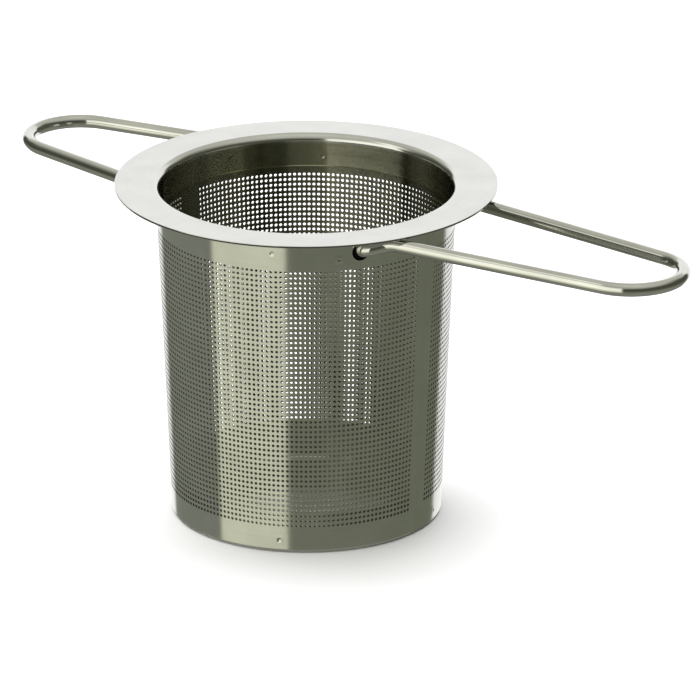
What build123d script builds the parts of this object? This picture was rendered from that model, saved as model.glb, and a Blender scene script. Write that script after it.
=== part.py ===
from build123d import *
import os
from math import asin, cos, sin, sqrt

# Tea basket strainer. Millimetres. The origin is the centre of the underside of
# the base, +Z is up through the basket and +X points along the long handle.
# A drop is a distance below the top of the flange.

HEIGHT = 75.5               # underside of the base to the top of the flange
SLIDE_GAP = 0.03            # between two nested sheets that are welded together

# Basket wall: two half shells of one cone, which meet above +X and -X
WALL_T = 0.35
WALL_TOP_R = 33.0           # outer radius at the top edge
WALL_TOP_DROP = 1.7
WALL_BOTTOM_R = 29.7        # outer radius carried down to the base plane
WALL_FOOT = 0.7             # lower edge above the base plane
SEAM_GAP = 0.1              # between the half shells

# Rim: flange, shoulder and collar of one drawn sheet
RIM_T = 0.5
FLANGE_R = 42.0
SHOULDER_R = 1.45           # bend radius at the middle of the sheet
COLLAR_DROP = 7.3           # lower edge of the collar

# Base cup
CUP_T = 0.5
CUP_H = 9.2
CUP_CORNER_R = 0.85         # bend radius at the middle of the sheet

# Handles: wire loops with their ends turned in as pins
WIRE_R = 1.5
PIN_X = 28.5                # hinge line, parallel to Y
PIN_DROP = 4.4
PIN_START_Y = 8.0           # inner end of the pin's wire before it is cut off
PIN_END_R = 32.0            # the pins are cut off flush with the inside of the collar
ELBOW_Y = 21.2              # corner where the wire turns in to become the pin
ELBOW_R = 2.0
CRANK_X = 34.8              # corner where the wire levels out under the flange
CRANK_R = 6.0
ARM_DROP = 2.4              # wire centre of the loop
PIN_CLEARANCE = 0.25        # radial, in the holes of the collar
SHEET_HOLE_R = 2.25         # wider holes for the pins in the wall sheets
SHEET_HOLE_DROP = 5.05

# Each loop: half width at the crank, middle of the wire at the tip, tip radius
LONG_LOOP = (16.3, 98.1, 11.6)
SHORT_LOOP = (16.8, 73.8, 11.3)

PIN_Z = HEIGHT - PIN_DROP
ARM_Z = HEIGHT - ARM_DROP
WALL_TOP_Z = HEIGHT - WALL_TOP_DROP
TAPER = (WALL_TOP_R - WALL_BOTTOM_R) / WALL_TOP_Z
BIG = 4 * FLANGE_R          # larger than the part, for cutting


def wall_radius(z):
    """Outer radius of the wall at a height above the base plane."""
    return WALL_BOTTOM_R + TAPER * z


def nested_radius(z, thickness):
    """Middle radius of a sheet that fits inside the wall at that height."""
    return wall_radius(z) - WALL_T - SLIDE_GAP - thickness / 2


def pressed_sheet(corners, thickness, bend_r):
    """Full turn of a sheet, from the corners of its middle line in (radius, z)."""
    with BuildLine(Plane.XZ):
        middle = FilletPolyline(*corners, radius=bend_r)
        outline = offset(middle, amount=thickness / 2, side=Side.BOTH)
    beyond_axis = Plane.XZ * Pos(-BIG / 2, 0) * Rectangle(BIG, BIG)
    return revolve(make_face(outline) - beyond_axis, Axis.Z)


def pin_bores(radius, drop):
    """Cutter with one cylinder right through the basket on each hinge side."""
    bore = Rotation(90, 0, 0) * Cylinder(radius, BIG)
    z = HEIGHT - drop
    return Pos(PIN_X, 0, z) * bore + Pos(-PIN_X, 0, z) * bore


def make_rim_collar():
    flange_z = HEIGHT - RIM_T / 2
    foot_z = HEIGHT - COLLAR_DROP + RIM_T / 2
    corners = [
        (FLANGE_R - RIM_T / 2, flange_z),
        (nested_radius(flange_z, RIM_T), flange_z),
        (nested_radius(foot_z, RIM_T), foot_z),
    ]
    rim = pressed_sheet(corners, RIM_T, SHOULDER_R)
    return rim - pin_bores(WIRE_R + PIN_CLEARANCE, PIN_DROP)


def make_wall(side):
    """Half of the wall: the -Y half for side -1, the +Y half for side 1."""
    top_r, foot_r = wall_radius(WALL_TOP_Z), wall_radius(WALL_FOOT)
    outline = Polyline(
        (foot_r, 0, WALL_FOOT), (top_r, 0, WALL_TOP_Z),
        (top_r - WALL_T, 0, WALL_TOP_Z), (foot_r - WALL_T, 0, WALL_FOOT), close=True)
    shell = revolve(make_face(outline), Axis.Z)
    half_space = Pos(0, side * (BIG + SEAM_GAP) / 2, 0) * Box(BIG, BIG, BIG)
    return (shell & half_space) - pin_bores(SHEET_HOLE_R, SHEET_HOLE_DROP)


def make_base_cup():
    floor_z = CUP_T / 2
    lip_z = CUP_H - CUP_T / 2
    corners = [
        (-CUP_T, floor_z),
        (nested_radius(floor_z, CUP_T), floor_z),
        (nested_radius(lip_z, CUP_T), lip_z),
    ]
    return pressed_sheet(corners, CUP_T, CUP_CORNER_R)


def make_handle(crank_y, tip_x, tip_r):
    """Wire loop towards +X: pin, elbow, crank, arm and tip, and back again."""
    tip_centre_x = tip_x - tip_r
    crank_distance = sqrt((tip_centre_x - CRANK_X) ** 2 + crank_y ** 2)
    lean = asin(crank_y / crank_distance) - asin(tip_r / crank_distance)
    near = [
        (PIN_X, PIN_START_Y, PIN_Z),
        (PIN_X, ELBOW_Y, PIN_Z),
        (CRANK_X, crank_y, ARM_Z),
        (tip_centre_x + tip_r * sin(lean), tip_r * cos(lean), ARM_Z),
    ]
    far = [(x, -y, z) for x, y, z in reversed(near)]
    with BuildLine() as path:
        FilletPolyline(*near, radius=(ELBOW_R, CRANK_R))
        ThreePointArc(near[-1], (tip_x, 0, ARM_Z), far[0])
        FilletPolyline(*far, radius=(CRANK_R, ELBOW_R))
    start = Plane(origin=near[0], z_dir=(0, 1, 0))
    wire = sweep(start * Circle(WIRE_R), path.wires()[0])
    return wire - Pos(0, 0, PIN_Z) * Cylinder(PIN_END_R, 8 * WIRE_R)


def make_parts():
    return {
        "rim_collar": make_rim_collar(),
        "wall_front": make_wall(-1),
        "wall_back": make_wall(1),
        "base_cup": make_base_cup(),
        "long_handle": make_handle(*LONG_LOOP),
        "short_handle": Rotation(0, 0, 180) * make_handle(*SHORT_LOOP),
    }


os.makedirs("parts", exist_ok=True)
for name, shape in make_parts().items():
    export_step(shape, f"parts/{name}.step")
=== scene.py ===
from math import asin, atan2, cos, hypot, pi, radians, sin, sqrt, tan

import bpy
import numpy as np
from mathutils import Matrix, Vector


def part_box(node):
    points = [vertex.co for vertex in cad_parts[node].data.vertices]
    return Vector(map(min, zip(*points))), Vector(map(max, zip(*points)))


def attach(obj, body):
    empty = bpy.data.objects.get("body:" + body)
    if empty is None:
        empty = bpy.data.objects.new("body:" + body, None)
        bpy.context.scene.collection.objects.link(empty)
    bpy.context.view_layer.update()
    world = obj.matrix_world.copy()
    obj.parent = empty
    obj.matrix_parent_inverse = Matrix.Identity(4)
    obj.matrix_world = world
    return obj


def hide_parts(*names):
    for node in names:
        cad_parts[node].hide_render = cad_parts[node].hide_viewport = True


# Tea basket strainer. Metres. The origin is the centre of the underside of the
# base, +Z is up and +X points along the long handle. A drop is a distance below
# the top of the flange. A turn is an angle about Z, counted from +X.

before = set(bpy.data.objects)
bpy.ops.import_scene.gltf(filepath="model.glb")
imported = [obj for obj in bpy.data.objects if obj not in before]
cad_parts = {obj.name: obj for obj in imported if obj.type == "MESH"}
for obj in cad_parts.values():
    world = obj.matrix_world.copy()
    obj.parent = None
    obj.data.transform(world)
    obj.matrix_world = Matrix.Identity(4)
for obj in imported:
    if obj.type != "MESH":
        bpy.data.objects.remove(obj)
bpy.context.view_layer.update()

MM = 0.001
FULL_TURN = 2 * pi

# ---------------------------------------------------------------- sizes

rim_low, rim_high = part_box("rim_collar")
wall_low, wall_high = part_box("wall_front")
cup_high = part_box("base_cup")[1]

HEIGHT = rim_high.z
FLANGE_R = rim_high.x
WALL_FOOT_Z = wall_low.z
WALL_TOP_Z = wall_high.z

WALL_T = 0.35 * MM
WALL_TOP_R = 33.0 * MM
WALL_BASE_R = 29.7 * MM     # outer radius carried down to the base plane
SLIDE_GAP = 0.03 * MM       # between two nested sheets
SEAM_GAP = 0.02 * MM        # between the two halves of the wall

RIM_T = 0.5 * MM
SHOULDER_R = 1.45 * MM      # bend radius at the middle of the sheet

CUP_T = 0.5 * MM
CUP_CORNER_R = 0.85 * MM

WIRE_R = 1.5 * MM
PIN_X = 28.5 * MM
PIN_Z = HEIGHT - 4.4 * MM
ELBOW_Y = 21.2 * MM
ELBOW_R = 2.0 * MM
CRANK_X = 34.8 * MM
CRANK_R = 6.0 * MM
ARM_Z = HEIGHT - 2.4 * MM
COLLAR_HOLE_R = 1.51 * MM   # drawn closer to the pins than the bearing is
SHEET_HOLE_R = 2.25 * MM    # about what the holes in the wall keep within
SHEET_HOLE_Z = HEIGHT - 5.05 * MM

# Each hole in the wall is two that run into each other, a bore round the pin and a
# punched hole below it. Both are ovals, given from the middle of the hole as seen
# along the pin: (how far outwards, how far up, half width, half height)
PIN_BORE = (0.0, 0.65 * MM, 1.62 * MM, 1.62 * MM)
PUNCHED_HOLE = (-0.80 * MM, -0.30 * MM, 1.05 * MM, 1.95 * MM)

# Each loop: half width at the crank, middle of the wire at the tip, tip radius
LONG_LOOP = (16.3 * MM, 98.1 * MM, 11.6 * MM)
SHORT_LOOP = (16.8 * MM, 73.8 * MM, 11.3 * MM)

# Perforation of each half of the wall
HOLE_R = 0.325 * MM
HOLE_SIDES = 8
HOLE_COLUMNS = 89
HOLE_ROWS = 52

# For each half, by its side: turn of the middle column and pitch of the columns in
# degrees, drop of the first row and pitch of the rows
HOLE_GRIDS = {
    -1: (270.0, 1.915, 9.5 * MM, 1.1667 * MM),
    1: (89.4, 1.897, 9.33 * MM, 1.1561 * MM),
}

# Spot welds, as (turn in degrees, drop, radius, depth of the dent)
WALL_WELDS = [
    (293.5, 5.2 * MM, 0.75 * MM, 0.07 * MM),
    (319.2, 6.6 * MM, 0.45 * MM, 0.12 * MM),
    (295.0, 72.6 * MM, 0.65 * MM, 0.10 * MM),
    (15.5, 72.6 * MM, 0.60 * MM, 0.10 * MM),
    (95.0, 72.6 * MM, 0.60 * MM, 0.10 * MM),
    (215.0, 72.6 * MM, 0.60 * MM, 0.10 * MM),
    (120.0, 5.2 * MM, 0.60 * MM, 0.08 * MM),
]
COLLAR_WELDS = [(120.0, 5.0 * MM, 0.55 * MM, 0.09 * MM)]

TAPER = (WALL_TOP_R - WALL_BASE_R) / WALL_TOP_Z


def wall_radius(z):
    """Outer radius of the wall at a height above the base plane."""
    return WALL_BASE_R + TAPER * z


def nested_radius(z, thickness):
    """Middle radius of a sheet that fits inside the wall at that height."""
    return wall_radius(z) - WALL_T - SLIDE_GAP - thickness / 2


# ---------------------------------------------------------------- flat drawings
# A sheet is first drawn flat, as points (turn, along) and faces, and is then
# given its shape and its thickness.


class Drawing:
    """A grid of points at turns and alongs, with faces that run counter-clockwise."""

    def __init__(self, turns, alongs, closed=False):
        self.turns = list(turns)
        self.alongs = list(alongs)
        self.points = []
        self.faces = []
        self.bored = {}     # point -> (x, z) of the bore that it stands on
        self.index = [[self.point(t, a) for a in self.alongs] for t in self.turns]
        if closed:
            self.index.append(self.index[0])
            self.turns.append(self.turns[0] + FULL_TURN)
        self.blocks = []

    def point(self, turn, along):
        self.points.append((turn, along))
        return len(self.points) - 1

    def corners(self, i, j):
        index = self.index
        return [index[i][j], index[i + 1][j], index[i + 1][j + 1], index[i][j + 1]]

    def block(self, turn_span, along_span):
        """Sets aside the cells that cover two spans, and gives their outer edge."""
        i0, i1 = cover(self.turns, *turn_span)
        j0, j1 = cover(self.alongs, *along_span)
        self.blocks.append((i0, i1, j0, j1))
        edge = [(i, j0) for i in range(i0, i1)]
        edge += [(i1, j) for j in range(j0, j1)]
        edge += [(i, j1) for i in range(i1, i0, -1)]
        edge += [(i0, j) for j in range(j1, j0, -1)]
        return [self.index[i][j] for i, j in edge]

    def in_block(self, i, j):
        return any(i0 <= i < i1 and j0 <= j < j1 for i0, i1, j0, j1 in self.blocks)

    def fill_cells(self, is_perforated=None, radius_at=None):
        """Faces for every cell that no block has set aside."""
        for i in range(len(self.turns) - 1):
            for j in range(len(self.alongs) - 1):
                if self.in_block(i, j):
                    continue
                if is_perforated is not None and is_perforated(i, j):
                    self.perforated_cell(self.corners(i, j), radius_at)
                else:
                    self.faces.append(self.corners(i, j))

    def perforated_cell(self, corners, radius_at):
        """A cell with one round hole in its middle."""
        turn_0, along_0 = self.points[corners[0]]
        turn_1, along_1 = self.points[corners[2]]
        turn = (turn_0 + turn_1) / 2
        along = (along_0 + along_1) / 2
        step = FULL_TURN / HOLE_SIDES
        reach = HOLE_R / sqrt(sin(step) / step)     # the sides enclose the round area
        ring = []
        for k in range(HOLE_SIDES):
            angle = step * (k - (HOLE_SIDES - 1) / 2)
            across = reach * cos(angle) / radius_at(along)
            ring.append(self.point(turn + across, along + reach * sin(angle)))
        for side in range(4):
            a, b = corners[side], corners[(side + 1) % 4]
            first, near, far = (ring[(2 * side + k) % HOLE_SIDES] for k in range(3))
            self.faces.append([a, near, first])
            self.faces.append([a, b, far, near])

    def ring(self, edge, targets, share):
        """New points, each that share of the way from a point of the edge to its target."""
        made = []
        for start, target in zip(edge, targets):
            turn, along = self.points[start]
            made.append(self.point(
                turn + share * (target[0] - turn), along + share * (target[1] - along)))
        return made

    def band(self, outer, inner):
        """Quads between two rings of the same length."""
        for k in range(len(outer)):
            n = (k + 1) % len(outer)
            self.faces.append([outer[k], outer[n], inner[n], inner[k]])


def cover(values, low, high):
    """First and last index of the shortest run of values that covers a span."""
    first = max(k for k, value in enumerate(values) if value <= low)
    last = min(k for k, value in enumerate(values) if value >= high)
    return first, last


def far_side(oval, out, up):
    """Distance from the middle of a hole to the far side of an oval, in one direction."""
    middle_out, middle_up, half_out, half_up = oval
    square = (out / half_out) ** 2 + (up / half_up) ** 2
    half_sum = (out * middle_out) / half_out ** 2 + (up * middle_up) / half_up ** 2
    rest = (middle_out / half_out) ** 2 + (middle_up / half_up) ** 2 - 1
    return (half_sum + sqrt(half_sum ** 2 - square * rest)) / square


def sheet_hole_reach(out, up):
    """Distance from the middle of a hole in the wall to its edge, in one direction."""
    return max(far_side(PIN_BORE, out, up), far_side(PUNCHED_HOLE, out, up))


def collar_hole_reach(out, up):
    """The same for a hole in the collar, which is a plain bore."""
    return COLLAR_HOLE_R


# Rings of faces between a block and the hole in it, as shares of the way to the hole
HOLE_RINGS = (0.4, 0.75, 0.93, 1)


def draw_pin_hole(drawing, side_x, side_y, hole_r, hole_z, reach, radius_at, along_at, margin):
    """A hole in the drawing where a bore parallel to Y goes through the sheet."""

    def turn_at(x, z):
        turn = np.arccos(np.clip(x / radius_at(z), -1, 1))
        return turn if side_y > 0 else FULL_TURN - turn

    x = side_x * PIN_X
    ends = sorted(turn_at(x + k * hole_r, hole_z) for k in (-1, 1))
    drops = sorted(along_at(hole_z + k * hole_r) for k in (-1, 1))
    mid_turn, half_turn = sum(ends) / 2, (ends[1] - ends[0]) / 2 + margin / PIN_X
    mid_along, half_along = sum(drops) / 2, (drops[1] - drops[0]) / 2 + margin
    edge = drawing.block(
        (mid_turn - half_turn, mid_turn + half_turn),
        (mid_along - half_along, mid_along + half_along))
    up = 1 if along_at(hole_z + hole_r) > along_at(hole_z) else -1
    bores = []
    for k in edge:
        turn, along = drawing.points[k]
        angle = atan2(up * (along - mid_along) / half_along,
                      -side_y * (turn - mid_turn) / half_turn)
        far = reach(side_x * cos(angle), sin(angle))
        bores.append((x + far * cos(angle), hole_z + far * sin(angle)))
    targets = [(turn_at(*bore), along_at(bore[1])) for bore in bores]
    rings = [edge] + [drawing.ring(edge, targets, share) for share in HOLE_RINGS]
    for outer, inner in zip(rings, rings[1:]):
        drawing.band(outer, inner)
    drawing.bored.update(zip(rings[-1], bores))


DENT_BLOCK = 1.6            # half width of the block for a dent, in radii of the weld
DENT_REACH = 1.4            # outermost ring of faces in it
DENT_RINGS = (0.2, 0.4, 0.6, 0.8)


def draw_dent(drawing, turn, along, radius, sheet_radius):
    """Finer faces where a spot weld has left a dent."""
    reach = DENT_BLOCK * radius
    edge = drawing.block(
        (turn - reach / sheet_radius, turn + reach / sheet_radius),
        (along - reach, along + reach))
    targets = []
    for k in edge:
        edge_turn, edge_along = drawing.points[k]
        across, up = (edge_turn - turn) * sheet_radius, edge_along - along
        far = hypot(across, up)
        targets.append((turn + across / far * DENT_REACH * radius / sheet_radius,
                        along + up / far * DENT_REACH * radius))
    rings = [edge, drawing.ring(edge, targets, 1)]
    centre = [(turn, along)] * len(edge)
    rings += [drawing.ring(rings[1], centre, share) for share in DENT_RINGS]
    for outer, inner in zip(rings, rings[1:]):
        drawing.band(outer, inner)
    middle = drawing.point(turn, along)
    last = rings[-1]
    for k, start in enumerate(last):
        drawing.faces.append([start, last[(k + 1) % len(last)], middle])


# ---------------------------------------------------------------- from flat to shape


class Profile:
    """The middle line of a sheet with one bend, in (radius, z), by distance along it."""

    def __init__(self, start, corner, end, bend_r):
        first = hypot(corner[0] - start[0], corner[1] - start[1])
        last = hypot(end[0] - corner[0], end[1] - corner[1])
        self.start = start
        self.angle_0 = atan2(corner[1] - start[1], corner[0] - start[0])
        self.angle_1 = atan2(end[1] - corner[1], end[0] - corner[0])
        bend = (self.angle_1 - self.angle_0 + pi) % FULL_TURN - pi
        self.angle_1 = self.angle_0 + bend
        trimmed = bend_r * tan(abs(bend) / 2)
        self.bend_start = first - trimmed
        self.bend_end = self.bend_start + bend_r * abs(bend)
        self.length = self.bend_end + last - trimmed
        self.signed_r = bend_r if bend > 0 else -bend_r

    def at(self, along):
        """Radius, z and direction of the line at distances along it."""
        into_bend = np.clip(along, self.bend_start, self.bend_end) - self.bend_start
        angle = self.angle_0 + into_bend / self.signed_r
        run_0 = np.minimum(along, self.bend_start)
        run_1 = np.maximum(along - self.bend_end, 0)
        radius = (self.start[0] + run_0 * cos(self.angle_0) + run_1 * cos(self.angle_1)
                  + self.signed_r * (np.sin(angle) - sin(self.angle_0)))
        z = (self.start[1] + run_0 * sin(self.angle_0) + run_1 * sin(self.angle_1)
             - self.signed_r * (np.cos(angle) - cos(self.angle_0)))
        return radius, z, angle

    def along_at(self, z):
        """Distance along the last straight run at a height."""
        end_z = self.at(np.float64(self.length))[1]
        return self.length + (z - end_z) / sin(self.angle_1)

    def radius_at(self, z):
        return self.at(np.float64(self.along_at(z)))[0]


EDGE_ROUND = 0.08 * MM      # width of the rounding along a free edge
EDGE_KEEP = 0.65            # share of the thickness left at the very edge


def rounded_half(half, distance):
    """Half the thickness at a distance from a free edge that is rounded."""
    share = np.clip(distance / EDGE_ROUND, 0, 1)
    return half * (EDGE_KEEP + (1 - EDGE_KEEP) * np.sqrt(1 - (1 - share) ** 2))


LIP_SHARE = 0.22            # height of the lip round a dent against the dent's depth
LIP_PLACE = 1.1             # its crest and its width, in radii of the weld
LIP_WIDTH = 0.16


def dent_depth(turn, drop, radius, welds):
    """How far the spot welds pull a sheet in."""
    depth = np.zeros_like(turn)
    for weld_turn, weld_drop, weld_r, weld_depth in welds:
        apart = (turn - radians(weld_turn) + pi) % FULL_TURN - pi
        share = np.hypot(apart * radius, drop - weld_drop) / weld_r
        bowl = np.where(share < 1, (1 + np.cos(pi * np.minimum(share, 1))) / 2, 0)
        lip = np.exp(-((share - LIP_PLACE) / LIP_WIDTH) ** 2)
        depth += weld_depth * (bowl - LIP_SHARE * lip)
    return depth


# Shallow waves that drawing and turning leave in the collar, as (height of the wave,
# its length, drop of one crest), and the roll along its lower edge
COLLAR_WAVES = [
    (0.010 * MM, 2.6 * MM, 3.4 * MM),
    (0.004 * MM, 1.1 * MM, 2.0 * MM),
    (0.0015 * MM, 0.45 * MM, 2.2 * MM),
]
WAVES_DROP = 1.7 * MM       # they begin here and are full one millimetre further down
ROLL_DROP = 6.0 * MM
ROLL_REACH = 1.4 * MM
ROLL_HEIGHT = 0.11 * MM


def collar_waves(drop):
    """How far the inside of the collar stands in from a plain cone."""
    waves = sum(height * np.cos(FULL_TURN * (drop - crest) / length)
                for height, length, crest in COLLAR_WAVES)
    below_bend = np.clip((drop - WAVES_DROP) / MM, 0, 1)
    share = np.clip((drop - ROLL_DROP) / ROLL_REACH, 0, 1)
    return waves * below_bend + ROLL_HEIGHT * share ** 2


def on_turn(radius, turn, z):
    return np.column_stack([radius * np.cos(turn), radius * np.sin(turn), z])


def place_wall(points, side):
    """Outer (side 1) or inner (side -1) skin of the wall at points (turn, z)."""
    turn, z = points.T
    free = np.minimum(z - WALL_FOOT_Z, WALL_TOP_Z - z)
    radius = wall_radius(z) - WALL_T / 2 + side * rounded_half(WALL_T / 2, free)
    return on_turn(radius - dent_depth(turn, HEIGHT - z, radius, WALL_WELDS), turn, z)


def place_on_profile(profile, thickness, welds, free_edge, waves=None):
    """A placing function for a sheet that is turned from a profile."""

    def place(points, side):
        turn, along = points.T
        radius, z, angle = profile.at(along)
        half = rounded_half(thickness / 2, free_edge(along))
        offset = side * half - dent_depth(turn, HEIGHT - z, radius, welds)
        if waves is not None and side > 0:
            offset = offset + waves(HEIGHT - z)
        return on_turn(radius + offset * np.sin(angle), turn, z - offset * np.cos(angle))

    return place


SLIDES = 4                  # rounds of correction, each far closer than the last


def slid_to_bores(drawing, place, side):
    """The drawing's points, with those on a bore moved along the skin on to it."""
    points = np.array(drawing.points)
    if not drawing.bored:
        return points
    rows = np.array(list(drawing.bored))
    x, z = np.array(list(drawing.bored.values())).T
    moved = points[rows]
    reach = np.array([0, 0.01 * MM])
    for _ in range(SLIDES):
        here = place(moved, side)
        slope = (place(moved + reach, side)[:, 2] - here[:, 2]) / reach[1]
        turn = np.arccos(x / np.hypot(here[:, 0], here[:, 1]))
        moved[:, 1] += (z - here[:, 2]) / slope
        moved[:, 0] = np.where(here[:, 1] > 0, turn, FULL_TURN - turn)
    points[rows] = moved
    return points


def skin_normals(points, place, side):
    """Unit normals of a skin, pointing away from the middle of the sheet."""
    turn_step = np.array([1e-4, 0])
    along_step = np.array([0, 1e-3 * MM])
    by_turn = place(points + turn_step, side) - place(points - turn_step, side)
    by_along = place(points + along_step, side) - place(points - along_step, side)
    normals = side * np.cross(by_turn, by_along)
    return normals / np.linalg.norm(normals, axis=1, keepdims=True)


def unit(vectors):
    return vectors / np.linalg.norm(vectors, axis=1, keepdims=True)


def free_edges(faces):
    """The directed edges that only one face has, and for each the edge before and after."""
    edges = {}
    for face in faces:
        for a, b in zip(face, face[1:] + face[:1]):
            edges[a, b] = True
    free = [(a, b) for a, b in edges if (b, a) not in edges]
    starts = {a: k for k, (a, b) in enumerate(free)}
    ends = {b: k for k, (a, b) in enumerate(free)}
    before = [ends[a] for a, b in free]
    after = [starts[b] for a, b in free]
    return np.array(free), np.array(before), np.array(after)


SMOOTH_COS = 0.5            # free edges that turn by less than 60 degrees look round


def blended(own, other):
    """Normals shared with the next edge where the two edges turn gently."""
    gentle = (own * other).sum(1, keepdims=True) > SMOOTH_COS
    return np.where(gentle, unit(own + other + 1e-9), own)


def mark_cut(mesh, is_cut):
    """Tells the material which faces were cut rather than rolled or drawn, which it paints in
    shade.
    """
    cut = mesh.attributes.new("cut", "FLOAT", "FACE")
    cut.data.foreach_set("value", np.array(is_cut, np.float32))


UV_PER_METRE = 8.0          # of the layouts below, about the same for each sheet
WALL_UV_WIDTH = 0.12 * MM * UV_PER_METRE


def make_sheet(name, drawing, place, layout, material, body, node):
    """Two skins of a drawing, joined by a wall round each free edge and each hole."""
    count = len(drawing.points)
    flat = np.array(drawing.points)
    front_flat = slid_to_bores(drawing, place, 1)
    back_flat = slid_to_bores(drawing, place, -1)
    vertices = np.concatenate([place(front_flat, 1), place(back_flat, -1)])
    front_n = skin_normals(front_flat, place, 1)
    back_n = skin_normals(back_flat, place, -1)

    edges, before, after = free_edges(drawing.faces)
    a, b = edges.T
    run = vertices[b] - vertices[a]
    out = unit(np.cross(run, front_n[a] + front_n[b]))
    at_a, at_b = blended(out, out[before]), blended(out, out[after])

    walls = np.column_stack([b, a, a + count, b + count])
    wall_n = np.stack([at_b, at_a, at_a, at_b], 1).reshape(-1, 3)
    reversed_faces = [[k + count for k in reversed(face)] for face in drawing.faces]
    faces = drawing.faces + reversed_faces + walls.tolist()
    front_loops = np.concatenate([np.array(face) for face in drawing.faces])
    back_loops = np.concatenate([np.array(face) - count for face in reversed_faces])
    normals = np.concatenate([front_n[front_loops], back_n[back_loops], wall_n])

    front_uv, back_uv = layout(flat, 1), layout(flat, -1)
    run_uv = front_uv[b] - front_uv[a]
    aside = np.column_stack([run_uv[:, 1], -run_uv[:, 0]])
    aside *= WALL_UV_WIDTH / (np.linalg.norm(aside, axis=1, keepdims=True) + 1e-12)
    wall_uv = np.stack(
        [front_uv[b], front_uv[a], front_uv[a] + aside, front_uv[b] + aside], 1)
    uv = np.concatenate([front_uv[front_loops], back_uv[back_loops], wall_uv.reshape(-1, 2)])

    mesh = bpy.data.meshes.new(name)
    mesh.from_pydata(vertices.tolist(), [], faces)
    mesh.polygons.foreach_set("use_smooth", np.ones(len(faces), bool))
    layer = mesh.uv_layers.new(name="OFBake")
    layer.data.foreach_set("uv", uv.astype(np.float32).ravel())
    mark_cut(mesh, [False] * (2 * len(drawing.faces)) + [True] * len(walls))
    mesh.update()
    mesh.normals_split_custom_set(normals.tolist())
    mesh.materials.append(material)
    piece = bpy.data.objects.new(name, mesh)
    bpy.context.scene.collection.objects.link(piece)
    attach(piece, body)
    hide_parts(node)
    return piece


def strip_layout(first_turn, last_turn):
    """Both skins of a half turn as two strips, one above the other."""

    def layout(flat, side):
        across = (flat[:, 0] - first_turn) / (last_turn - first_turn)
        up = (flat[:, 1] - WALL_FOOT_Z) / (WALL_TOP_Z - WALL_FOOT_Z)
        low = 0.51 if side > 0 else 0.01
        return np.column_stack([0.01 + 0.98 * across, low + 0.48 * up])

    return layout


def disc_layout(reach):
    """Both skins of a full turn as two discs, side by side."""

    def layout(flat, side):
        radius = 0.235 * reach(flat[:, 1])
        middle = 0.25 if side > 0 else 0.75
        return np.column_stack([
            middle + radius * np.cos(flat[:, 0]), 0.5 + radius * np.sin(flat[:, 0])])

    return layout


# ---------------------------------------------------------------- the basket

SIDES = (-1, 1)
EDGE_ROWS = [EDGE_ROUND * share for share in (0, 0.08, 0.3, 0.6, 1)]


def spaced(first, last, most):
    """Even steps from first to last, none longer than most."""
    steps = int(np.ceil(abs(last - first) / most))
    return np.linspace(first, last, steps + 1).tolist()


def joined(*runs):
    """Rising or falling runs of values as one list, with no value twice."""
    values = [value for run in runs for value in run]
    kept = values[:1]
    for value in values[1:]:
        if abs(value - kept[-1]) > 1e-7:
            kept.append(value)
    return kept


def make_wall(name, side, material):
    """Half of the perforated wall: the -Y half for side -1, the +Y half for side 1."""
    start = 0 if side > 0 else pi
    middle, pitch, first_drop, row_pitch = HOLE_GRIDS[side]
    seam = SEAM_GAP / 2 / WALL_TOP_R
    columns = [radians(middle + (k - HOLE_COLUMNS / 2) * pitch)
               for k in range(HOLE_COLUMNS + 1)]
    left = spaced(start + seam, columns[0], radians(4))
    right = spaced(columns[-1], start + pi - seam, radians(4))
    turns = joined(left, columns, right)

    top_z = HEIGHT - first_drop + row_pitch / 2
    rows = [top_z - k * row_pitch for k in range(HOLE_ROWS, -1, -1)]
    foot = [WALL_FOOT_Z + step for step in EDGE_ROWS]
    top = [WALL_TOP_Z - step for step in reversed(EDGE_ROWS)]
    alongs = joined(
        foot, spaced(foot[-1], rows[0], 1.3 * MM), rows, spaced(rows[-1], top[0], MM), top)

    drawing = Drawing(turns, alongs)
    for side_x in SIDES:
        draw_pin_hole(drawing, side_x, side, SHEET_HOLE_R, SHEET_HOLE_Z,
                      sheet_hole_reach, wall_radius, lambda z: z, 0.7 * MM)
    for turn, drop, radius, _ in WALL_WELDS:
        if start < radians(turn) < start + pi:
            z = HEIGHT - drop
            draw_dent(drawing, radians(turn), z, radius, wall_radius(z))

    first_column, first_row = turns.index(columns[0]), alongs.index(rows[0])

    def is_perforated(i, j):
        return 0 <= i - first_column < HOLE_COLUMNS and 0 <= j - first_row < HOLE_ROWS

    drawing.fill_cells(is_perforated, wall_radius)
    layout = strip_layout(start, start + pi)
    return make_sheet(name + "_sheet", drawing, place_wall, layout, material,
                      "basket", name)


def full_turns(columns):
    return [FULL_TURN * k / columns for k in range(columns)]


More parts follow.
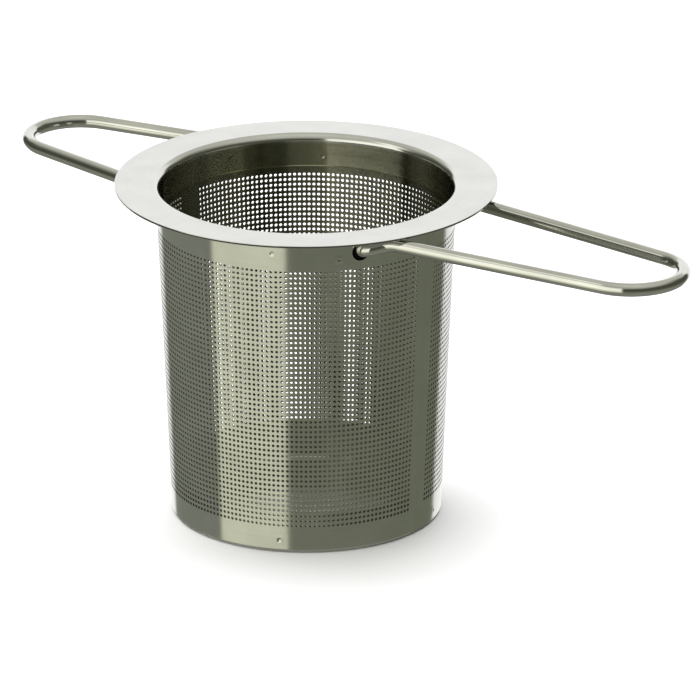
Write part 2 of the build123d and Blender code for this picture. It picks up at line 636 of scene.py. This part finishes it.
def make_rim(material):
    """Flange, shoulder and collar, from the outer edge of the flange inwards and down."""
    flange_z = HEIGHT - RIM_T / 2
    foot_z = rim_low.z
    profile = Profile(
        (FLANGE_R, flange_z),
        (nested_radius(flange_z, RIM_T), flange_z),
        (nested_radius(foot_z, RIM_T), foot_z),
        SHOULDER_R)
    end = profile.length
    alongs = joined(
        EDGE_ROWS,
        spaced(EDGE_ROWS[-1], profile.bend_start, 1.5 * MM),
        spaced(profile.bend_start, profile.bend_end, 0.12 * MM),
        spaced(profile.bend_end, end - EDGE_ROUND, 0.15 * MM),
        [end - step for step in reversed(EDGE_ROWS)])
    place = place_on_profile(
        profile, RIM_T, COLLAR_WELDS, lambda along: np.minimum(along, end - along),
        collar_waves)

    drawing = Drawing(full_turns(288), alongs, closed=True)
    for side_x in SIDES:
        for side_y in SIDES:
            draw_pin_hole(drawing, side_x, side_y, COLLAR_HOLE_R, PIN_Z,
                          collar_hole_reach, profile.radius_at, profile.along_at, 0.5 * MM)
    for turn, drop, radius, _ in COLLAR_WELDS:
        z = HEIGHT - drop
        draw_dent(drawing, radians(turn), profile.along_at(z), radius, profile.radius_at(z))
    drawing.fill_cells()
    return make_sheet("rim_collar_sheet", drawing, place,
                      disc_layout(lambda along: 1 - along / FLANGE_R),
                      material, "basket", "rim_collar")


def make_cup(material):
    """Base cup, from the middle of its floor outwards and up."""
    floor_z = CUP_T / 2
    profile = Profile(
        (0, floor_z),
        (nested_radius(floor_z, CUP_T), floor_z),
        (nested_radius(cup_high.z, CUP_T), cup_high.z),
        CUP_CORNER_R)
    end = profile.length
    middle_r = 3 * MM           # of the one face in the middle of the floor
    alongs = joined(
        spaced(middle_r, profile.bend_start, 2.5 * MM),
        spaced(profile.bend_start, profile.bend_end, 0.12 * MM),
        spaced(profile.bend_end, end - EDGE_ROUND, 1.5 * MM),
        [end - step for step in reversed(EDGE_ROWS)])
    place = place_on_profile(profile, CUP_T, [], lambda along: end - along)
    drawing = Drawing(full_turns(216), alongs, closed=True)
    drawing.fill_cells()
    drawing.faces.append([column[0] for column in reversed(drawing.index[:-1])])
    return make_sheet("base_cup_sheet", drawing, place,
                      disc_layout(lambda along: along / end),
                      material, "basket", "base_cup")


# ---------------------------------------------------------------- the handles

WIRE_SIDES = 40
ARC_STEP = radians(4)


def filleted(corners, radii):
    """Points and directions along straight runs that are joined by tangent arcs."""
    path = [(corners[0], (corners[1] - corners[0]).normalized())]
    for k, radius in enumerate(radii):
        before, corner, after = corners[k:k + 3]
        into = (corner - before).normalized()
        out = (after - corner).normalized()
        bend = into.angle(out)
        axis = into.cross(out).normalized()
        arc_start = corner - into * radius * tan(bend / 2)
        centre = arc_start + axis.cross(into) * radius
        steps = max(2, round(bend / ARC_STEP))
        for step in range(steps + 1):
            turned = Matrix.Rotation(bend * step / steps, 3, axis)
            path.append((centre + turned @ (arc_start - centre), turned @ into))
    path.append((corners[-1], out))
    return path


def handle_path(crank_y, tip_x, tip_r):
    """Middle of the wire, from the near pin round the loop to the far pin."""
    tip_centre_x = tip_x - tip_r
    crank_distance = hypot(tip_centre_x - CRANK_X, crank_y)
    lean = asin(crank_y / crank_distance) - asin(tip_r / crank_distance)
    near = filleted([
        Vector((PIN_X, 0, PIN_Z)),
        Vector((PIN_X, ELBOW_Y, PIN_Z)),
        Vector((CRANK_X, crank_y, ARM_Z)),
        Vector((tip_centre_x + tip_r * sin(lean), tip_r * cos(lean), ARM_Z)),
    ], (ELBOW_R, CRANK_R))
    near.pop()
    steps = round((pi / 2 - lean) / ARC_STEP)
    for step in range(steps):
        angle = (pi / 2 - lean) * (1 - step / steps)
        middle = Vector((tip_centre_x + tip_r * cos(angle), tip_r * sin(angle), ARM_Z))
        near.append((middle, Vector((sin(angle), -cos(angle), 0))))
    far = [(Vector((p.x, -p.y, p.z)), Vector((-d.x, d.y, -d.z))) for p, d in reversed(near)]
    return near + [(Vector((tip_x, 0, ARM_Z)), Vector((0, -1, 0)))] + far


def inside_radius(z):
    """Radius of the inside of the collar at a height."""
    return nested_radius(z, 2 * RIM_T)


def pin_end(side_y, distances):
    """Rings on the cut end of a pin, which follows the inside of the collar."""
    angles = FULL_TURN * np.arange(WIRE_SIDES) / WIRE_SIDES
    rings = []
    for radius in distances:
        x = PIN_X + radius * np.sin(angles)
        z = PIN_Z + radius * np.cos(angles)
        y = np.sqrt(inside_radius(z) ** 2 - x ** 2)
        rings.append(np.column_stack([x, side_y * y, z]))
    return rings


def wire_rings(path):
    """Rings of points round the wire, which keep their place as it bends."""
    angles = FULL_TURN * np.arange(WIRE_SIDES) / WIRE_SIDES
    up = Vector((0, 0, 1))
    rings = []
    for point, direction in path:
        up = (up - direction * up.dot(direction)).normalized()
        aside = direction.cross(up)
        rings.append(np.array(point) + WIRE_R * (
            np.outer(np.cos(angles), up) + np.outer(np.sin(angles), aside)))
    return rings


def tube(count, shares):
    """Faces and layout of a closed tube of rings, with the middles of its ends last."""
    sides = WIRE_SIDES
    first_end, last_end = count * sides, count * sides + 1
    faces, uv = [], []
    for i in range(count - 1):
        here, there = i * sides, (i + 1) * sides
        for k in range(sides):
            n = (k + 1) % sides
            faces.append([here + k, here + n, there + n, there + k])
            low, high = 0.1 + 0.8 * k / sides, 0.1 + 0.8 * (k + 1) / sides
            uv += [(shares[i], low), (shares[i], high),
                   (shares[i + 1], high), (shares[i + 1], low)]
    last = (count - 1) * sides
    for k in range(sides):
        n = (k + 1) % sides
        faces.append([n, k, first_end])
        faces.append([last + k, last + n, last_end])
        for middle in (0.04, 0.96):
            uv += [(middle, 0.04), (middle + 0.01, 0.04), (middle, 0.05)]
    return faces, uv


def mark_grain(mesh, lengths):
    """Tells the material where each point is along the wire and round it."""
    angles = FULL_TURN * np.arange(WIRE_SIDES) / WIRE_SIDES
    around = WIRE_R * np.column_stack([np.cos(angles), np.sin(angles)])
    along = np.concatenate([np.repeat(lengths, WIRE_SIDES), [0, lengths[-1]]])
    across = np.concatenate([np.tile(around, (len(lengths), 1)), np.zeros((2, 2))])
    grain = mesh.attributes.new("grain", "FLOAT_VECTOR", "POINT")
    grain.data.foreach_set("vector", np.column_stack([along, across]).astype(np.float32).ravel())


CAP_RINGS = [share * WIRE_R for share in (0.35, 0.7, 1)]
SHARP_TURN = radians(20)    # edges that turn by more than this look sharp


def make_handle(name, loop, facing, material):
    """Wire loop towards +X for facing 1, or towards -X for facing -1."""
    path = handle_path(*loop)
    rings = pin_end(1, CAP_RINGS) + wire_rings(path[1:-1]) + pin_end(-1, CAP_RINGS)[::-1]
    end_y = sqrt(inside_radius(PIN_Z) ** 2 - PIN_X ** 2)
    ends = [[PIN_X, side_y * end_y, PIN_Z] for side_y in (1, -1)]
    vertices = np.concatenate(rings + [np.array(ends)]) * np.array([facing, facing, 1])
    middles = np.array([ring.mean(0) for ring in rings])
    lengths = np.concatenate([[0], np.cumsum(np.linalg.norm(np.diff(middles, axis=0), axis=1))])
    faces, uv = tube(len(rings), 0.01 + 0.98 * lengths / lengths[-1])

    mesh = bpy.data.meshes.new(name)
    mesh.from_pydata(vertices.tolist(), [], faces)
    cap_bands = len(CAP_RINGS) - 1
    bands = len(rings) - 1
    on_caps = [band < cap_bands or band >= bands - cap_bands
               for band in range(bands) for _ in range(WIRE_SIDES)]
    mark_cut(mesh, on_caps + [True] * 2 * WIRE_SIDES)
    layer = mesh.uv_layers.new(name="OFBake")
    layer.data.foreach_set("uv", np.array(uv, np.float32).ravel())
    mark_grain(mesh, lengths)
    mesh.polygons.foreach_set("use_smooth", np.ones(len(faces), bool))
    mesh.set_sharp_from_angle(angle=SHARP_TURN)
    mesh.update()
    mesh.materials.append(material)
    piece = bpy.data.objects.new(name + "_wire", mesh)
    bpy.context.scene.collection.objects.link(piece)
    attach(piece, name)
    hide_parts(name)
    return piece


# ---------------------------------------------------------------- materials


class Nodes:
    """Short hand for building a node tree."""

    def __init__(self, tree):
        self.tree = tree

    def new(self, kind, **settings):
        node = self.tree.nodes.new(kind)
        for key, value in settings.items():
            setattr(node, key, value)
        return node

    def feed(self, socket, value):
        if isinstance(value, bpy.types.NodeSocket):
            self.tree.links.new(value, socket)
        else:
            socket.default_value = value

    def math(self, operation, *values, clamp=False):
        node = self.new("ShaderNodeMath", operation=operation, use_clamp=clamp)
        for socket, value in zip(node.inputs, values):
            self.feed(socket, value)
        return node.outputs[0]

    def ramp(self, value, low, high, to_low=0.0, to_high=1.0, kind="LINEAR"):
        """Value from low..high to to_low..to_high, held at the ends."""
        node = self.new("ShaderNodeMapRange", interpolation_type=kind)
        for key, given in (("Value", value), ("From Min", low), ("From Max", high),
                           ("To Min", to_low), ("To Max", to_high)):
            self.feed(node.inputs[key], given)
        return node.outputs[0]

    def mix(self, share, a, b):
        node = self.new("ShaderNodeMix", data_type="RGBA")
        self.feed(node.inputs[0], share)
        self.feed(node.inputs[6], a)
        self.feed(node.inputs[7], b)
        return node.outputs[2]

    def shade(self, share, colour, factor):
        """The colour, multiplied by a factor where share is 1."""
        node = self.new("ShaderNodeMix", data_type="RGBA", blend_type="MULTIPLY")
        self.feed(node.inputs[0], share)
        self.feed(node.inputs[6], colour)
        self.feed(node.inputs[7], factor)
        return node.outputs[2]

    def noise(self, vector, scale, detail=3.0):
        node = self.new("ShaderNodeTexNoise", noise_dimensions="3D")
        self.feed(node.inputs["Vector"], vector)
        self.feed(node.inputs["Scale"], scale)
        self.feed(node.inputs["Detail"], detail)
        return node.outputs[0]

    def scaled(self, vector, scale):
        node = self.new("ShaderNodeMapping", vector_type="POINT")
        self.feed(node.inputs["Vector"], vector)
        node.inputs["Scale"].default_value = scale
        return node.outputs[0]


INSIDE_SHADE_WALL = (0.56, 0.56, 0.47, 1)   # painted shade on the inside of the basket, against its outside
# Painted shade on the inside of the collar, against its outside
INSIDE_SHADE_COLLAR = (0.72, 0.72, 0.58, 1)
CUT_SHADE = (0.42, 0.42, 0.38, 1)    # painted shade on cut edges and hole walls, against the skins
PIN_GAP_SHADE = (0.020, 0.020, 0.016, 1)    # painted shadow in the gap round the pins, and its roughness
PIN_GAP_SHADE_ROUGHNESS = 0.6
PIN_GAP_SHADE_REACH = (2.6 * MM, 2.8 * MM)  # from the middle of a hole: full, and gone
INSIDE_SHADE_FROM = (HEIGHT - 2.1 * MM, HEIGHT - 1.7 * MM)  # painted shade inside, below the bend: full, and gone
CLOUD_SCALE = 130.0                 # clouds to the metre
GRAIN_SHARE = 0.35                  # of the shading, and the rest is clouds


def length_of(nodes, x, y):
    squares = [nodes.math("MULTIPLY", value, value) for value in (x, y)]
    return nodes.math("SQRT", nodes.math("ADD", *squares))


def outwards(nodes, place):
    """Cosine between the surface and straight out from the basket's axis."""
    flat = nodes.new("ShaderNodeVectorMath", operation="MULTIPLY")
    nodes.feed(flat.inputs[0], place)
    flat.inputs[1].default_value = (1.0, 1.0, 0.0)
    out = nodes.new("ShaderNodeVectorMath", operation="NORMALIZE")
    nodes.feed(out.inputs[0], flat.outputs[0])
    dot = nodes.new("ShaderNodeVectorMath", operation="DOT_PRODUCT")
    nodes.feed(dot.inputs[0], out.outputs[0])
    nodes.feed(dot.inputs[1], nodes.new("ShaderNodeTexCoord").outputs["Normal"])
    return dot.outputs["Value"]


def inside_shade_share(nodes, place):
    """1 on the inside of the basket below the bend, where shade is painted, 0 elsewhere."""
    split = nodes.new("ShaderNodeSeparateXYZ")
    nodes.feed(split.inputs[0], place)
    below_bend = nodes.ramp(split.outputs[2], *INSIDE_SHADE_FROM, 1.0, 0.0)
    return nodes.math("MULTIPLY", below_bend, nodes.ramp(outwards(nodes, place), -0.25, -0.85))


def pin_gap_shade_share(nodes, place):
    """1 on the outside where the holes in the wall leave the collar bare, where a shadow is
    painted, 0 elsewhere.
    """
    split = nodes.new("ShaderNodeSeparateXYZ")
    nodes.feed(split.inputs[0], place)
    aside = nodes.math("SUBTRACT", nodes.math("ABSOLUTE", split.outputs[0]), PIN_X)
    above = nodes.math("SUBTRACT", split.outputs[2], SHEET_HOLE_Z)
    near = nodes.ramp(length_of(nodes, aside, above), *PIN_GAP_SHADE_REACH, 1.0, 0.0)
    return nodes.math("MULTIPLY", near, nodes.ramp(outwards(nodes, place), 0.3, 0.6))


def steel(name, light, dark, roughness, grain_vector, grain_depth,
          inside=None, cut_shade=CUT_SHADE, has_pin_gap_shade=False):
    """Bright stainless steel with fine lines along its grain, and slightly cloudy."""
    material = bpy.data.materials.new(name)
    material.use_nodes = True
    tree = material.node_tree
    nodes = Nodes(tree)
    shader = tree.nodes["Principled BSDF"]
    shader.inputs["Metallic"].default_value = 1.0
    place = nodes.new("ShaderNodeTexCoord").outputs["Object"]
    clouds = nodes.noise(place, CLOUD_SCALE)
    grain = nodes.noise(grain_vector(nodes, place), 1.0, 4.0)
    shade = nodes.math("MULTIPLY_ADD", grain, GRAIN_SHARE,
                       nodes.math("MULTIPLY", clouds, 1 - GRAIN_SHARE))
    colour = nodes.mix(nodes.ramp(shade, 0.35, 0.65), dark, light)
    rough = nodes.ramp(shade, 0.3, 0.7, roughness * 1.25, roughness * 0.8)
    cut = nodes.new("ShaderNodeAttribute", attribute_name="cut").outputs["Fac"]
    # Painted shade on cut edges and hole walls
    colour = nodes.shade(cut, colour, cut_shade)
    # Painted shade on the inside of the basket
    if inside:
        colour = nodes.shade(inside_shade_share(nodes, place), colour, inside)
    # Painted shadow in the gap round the pins, which is rougher as well
    if has_pin_gap_shade:
        scale = pin_gap_shade_share(nodes, place)
        colour = nodes.mix(scale, colour, PIN_GAP_SHADE)
        rough = nodes.math("MAXIMUM", rough, nodes.math("MULTIPLY", scale, PIN_GAP_SHADE_ROUGHNESS))
    nodes.feed(shader.inputs["Base Color"], colour)
    nodes.feed(shader.inputs["Roughness"], rough)
    bump = nodes.new("ShaderNodeBump")
    bump.inputs["Strength"].default_value = 1.0
    bump.inputs["Distance"].default_value = grain_depth
    nodes.feed(bump.inputs["Height"], grain)
    nodes.feed(shader.inputs["Normal"], bump.outputs[0])
    return material


# Grain to the metre: along its lines, and across them
ALONG_SHEET = 60.0
ACROSS_ROLLED = 5000.0
ACROSS_TURNED = 4000.0
ALONG_WIRE = 80.0
ACROSS_WIRE = 4000.0


def rolled_grain(nodes, place):
    """Fine lines round the basket, close together in height."""
    return nodes.scaled(place, (ALONG_SHEET, ALONG_SHEET, ACROSS_ROLLED))


def turned_grain(nodes, place):
    """Fine lines round the axis, on flat faces and upright ones."""
    split = nodes.new("ShaderNodeSeparateXYZ")
    nodes.feed(split.inputs[0], place)
    x, y, z = split.outputs
    radius = length_of(nodes, x, y)
    across = nodes.math("MULTIPLY", nodes.math("ADD", radius, z), ACROSS_TURNED)
    merged = nodes.new("ShaderNodeCombineXYZ")
    nodes.feed(merged.inputs[0], nodes.math("MULTIPLY", x, ALONG_SHEET))
    nodes.feed(merged.inputs[1], nodes.math("MULTIPLY", y, ALONG_SHEET))
    nodes.feed(merged.inputs[2], across)
    return merged.outputs[0]


def drawn_grain(nodes, place):
    """Fine lines along the wire."""
    grain = nodes.new("ShaderNodeAttribute", attribute_name="grain")
    return nodes.scaled(grain.outputs["Vector"], (ALONG_WIRE, ACROSS_WIRE, ACROSS_WIRE))


SHEET_GRAIN = 0.0015 * MM           # depth
WIRE_GRAIN = 0.002 * MM


def make_materials():
    return {
        # Painted shade on the inside of the rim, the sheet and the base
        "rim": steel("polished_rim", (0.72, 0.72, 0.70, 1), (0.66, 0.66, 0.64, 1),
                     # The rim also has a painted shadow round the pins
                     0.13, turned_grain, SHEET_GRAIN, inside=INSIDE_SHADE_COLLAR, has_pin_gap_shade=True),
        "sheet": steel("perforated_sheet", (0.68, 0.68, 0.65, 1), (0.61, 0.61, 0.58, 1),
                       0.12, rolled_grain, SHEET_GRAIN, inside=INSIDE_SHADE_WALL),
        "base": steel("base_steel", (0.68, 0.68, 0.65, 1), (0.60, 0.60, 0.57, 1),
                      0.14, turned_grain, SHEET_GRAIN, inside=INSIDE_SHADE_WALL),
        # The cut ends of the pins get the painted shade of the collar's inside
        "wire": steel("handle_wire", (0.72, 0.72, 0.69, 1), (0.62, 0.62, 0.59, 1),
                      0.10, drawn_grain, WIRE_GRAIN, cut_shade=INSIDE_SHADE_COLLAR),
    }


# ---------------------------------------------------------------- studio

CAMERA_AZIMUTH = 36.37
CAMERA_ELEVATION = 20.08
CAMERA_DISTANCE = 2.506
CAMERA_AIM = Vector((11.7, 0.3, 38.9)) * MM
CAMERA_LENS = 587.5


def towards(azimuth, elevation):
    """Direction from the object; azimuth 0 is -Y and 90 is +X, in degrees."""
    a, e = radians(azimuth), radians(elevation)
    return Vector((sin(a) * cos(e), -cos(a) * cos(e), sin(e)))


def make_camera():
    data = bpy.data.cameras.new("camera")
    data.lens = CAMERA_LENS
    data.clip_start = 0.1
    data.clip_end = 100.0
    camera = bpy.data.objects.new("camera", data)
    back = towards(CAMERA_AZIMUTH, CAMERA_ELEVATION)
    camera.location = CAMERA_AIM + back * CAMERA_DISTANCE
    camera.rotation_mode = "QUATERNION"
    camera.rotation_quaternion = (-back).to_track_quat("-Z", "Y")
    bpy.context.scene.collection.objects.link(camera)
    bpy.context.scene.camera = camera


# What the steel reflects. First a gradient from the ground to the zenith, as
# (elevation in degrees, colour)
GRADIENT = [
    (-90, (0.290, 0.290, 0.260)),
    (-50, (0.250, 0.255, 0.215)),
    (-30, (0.235, 0.245, 0.195)),
    (-24, (0.185, 0.200, 0.148)),
    (-12, (0.110, 0.118, 0.085)),
    (0, (0.075, 0.080, 0.058)),
    (20, (0.085, 0.088, 0.068)),
    (30, (0.150, 0.152, 0.120)),
    (40, (0.360, 0.360, 0.310)),
    (50, (0.560, 0.560, 0.490)),
    (65, (0.620, 0.620, 0.550)),
    (90, (0.760, 0.755, 0.670)),
]

# Then the soft boxes and the backdrop, as (azimuth, half width and softness of the
# edge; elevation, half height and softness of the edge, all in degrees; colour)
PATCHES = [
    (-88, 42, 8, -28, 12, 8, (0.245, 0.258, 0.215)),
    (-150, 50, 14, 45, 24, 8, (0.600, 0.600, 0.530)),
    (-150, 34, 5, -2, 31, 3, (1.09, 1.09, 1.08)),
    (-11, 31.5, 2, -10, 27, 8, (0.72, 0.74, 0.57)),
    (-46, 12, 6, 42, 12, 5, (1.30, 1.29, 1.13)),
    (-11, 31.5, 2, 10, 26, 13, (1.35, 1.34, 1.18)),
]


def make_world():
    world = bpy.data.worlds.new("studio")
    bpy.context.scene.world = world
    world.use_nodes = True
    tree = world.node_tree
    tree.nodes.clear()
    nodes = Nodes(tree)
    split = nodes.new("ShaderNodeSeparateXYZ")
    nodes.feed(split.inputs[0], nodes.new("ShaderNodeTexCoord").outputs["Generated"])
    x, y, z = split.outputs
    to_degrees = 180 / pi
    elevation = nodes.math("MULTIPLY", nodes.math("ARCSINE", z), to_degrees)
    azimuth = nodes.math("MULTIPLY", nodes.math(
        "ARCTAN2", x, nodes.math("MULTIPLY", y, -1.0)), to_degrees)
    colour = (*GRADIENT[0][1], 1)
    for (low, _), (high, shade) in zip(GRADIENT, GRADIENT[1:]):
        colour = nodes.mix(nodes.ramp(elevation, low, high), colour, (*shade, 1))
    for middle, half_width, side_soft, height, half_height, soft, patch in PATCHES:
        aside = nodes.math("WRAP", nodes.math("SUBTRACT", azimuth, middle), 180.0, -180.0)
        aside = nodes.math("ABSOLUTE", aside)
        above = nodes.math("ABSOLUTE", nodes.math("SUBTRACT", elevation, height))
        share = nodes.math(
            "MULTIPLY",
            nodes.ramp(aside, half_width - side_soft, half_width + side_soft,
                       1.0, 0.0, "SMOOTHSTEP"),
            nodes.ramp(above, half_height - soft, half_height + soft, 1.0, 0.0, "SMOOTHSTEP"))
        colour = nodes.mix(share, colour, (*patch, 1))
    seen = nodes.new("ShaderNodeLightPath").outputs["Is Camera Ray"]
    background = nodes.new("ShaderNodeBackground")
    nodes.feed(background.inputs["Color"], nodes.mix(seen, colour, (1, 1, 1, 1)))
    nodes.feed(nodes.new("ShaderNodeOutputWorld").inputs[0], background.outputs[0])


FLOOR_HALF = 20.0


def make_floor():
    """Plain white floor, which the steel doesn't reflect."""
    mesh = bpy.data.meshes.new("floor")
    quarters = ((-1, -1), (1, -1), (1, 1), (-1, 1))
    corners = [(x * FLOOR_HALF, y * FLOOR_HALF, 0) for x, y in quarters]
    mesh.from_pydata(corners, [], [[0, 1, 2, 3]])
    floor = bpy.data.objects.new("floor", mesh)
    bpy.context.scene.collection.objects.link(floor)
    material = bpy.data.materials.new("floor")
    material.use_nodes = True
    shader = material.node_tree.nodes["Principled BSDF"]
    shader.inputs["Base Color"].default_value = (0.89, 0.89, 0.92, 1)
    shader.inputs["Roughness"].default_value = 1.0
    shader.inputs["Specular IOR Level"].default_value = 0.0
    mesh.materials.append(material)
    floor.visible_glossy = False
    floor.visible_diffuse = False


FLOOR_LIGHT_SIZE = 4.0
FLOOR_LIGHT_POWER = 200.0
FLOOR_LIGHT_PLACE = Vector((-0.75, 0.5, 3.0))


def make_floor_light():
    """Large soft light from above, for the floor alone."""
    data = bpy.data.lights.new("floor_light", "AREA")
    data.shape = "SQUARE"
    data.size = FLOOR_LIGHT_SIZE
    data.energy = FLOOR_LIGHT_POWER
    light = bpy.data.objects.new("floor_light", data)
    light.location = FLOOR_LIGHT_PLACE
    light.rotation_mode = "QUATERNION"
    light.rotation_quaternion = (-FLOOR_LIGHT_PLACE).to_track_quat("-Z", "Y")
    light.visible_glossy = False
    bpy.context.scene.collection.objects.link(light)


make_camera()
make_world()
make_floor()
make_floor_light()
bpy.context.scene.view_settings.view_transform = "Standard"

metals = make_materials()
make_rim(metals["rim"])
make_wall("wall_front", -1, metals["sheet"])
make_wall("wall_back", 1, metals["sheet"])
make_cup(metals["base"])
make_handle("long_handle", LONG_LOOP, 1, metals["wire"])
make_handle("short_handle", SHORT_LOOP, -1, metals["wire"])
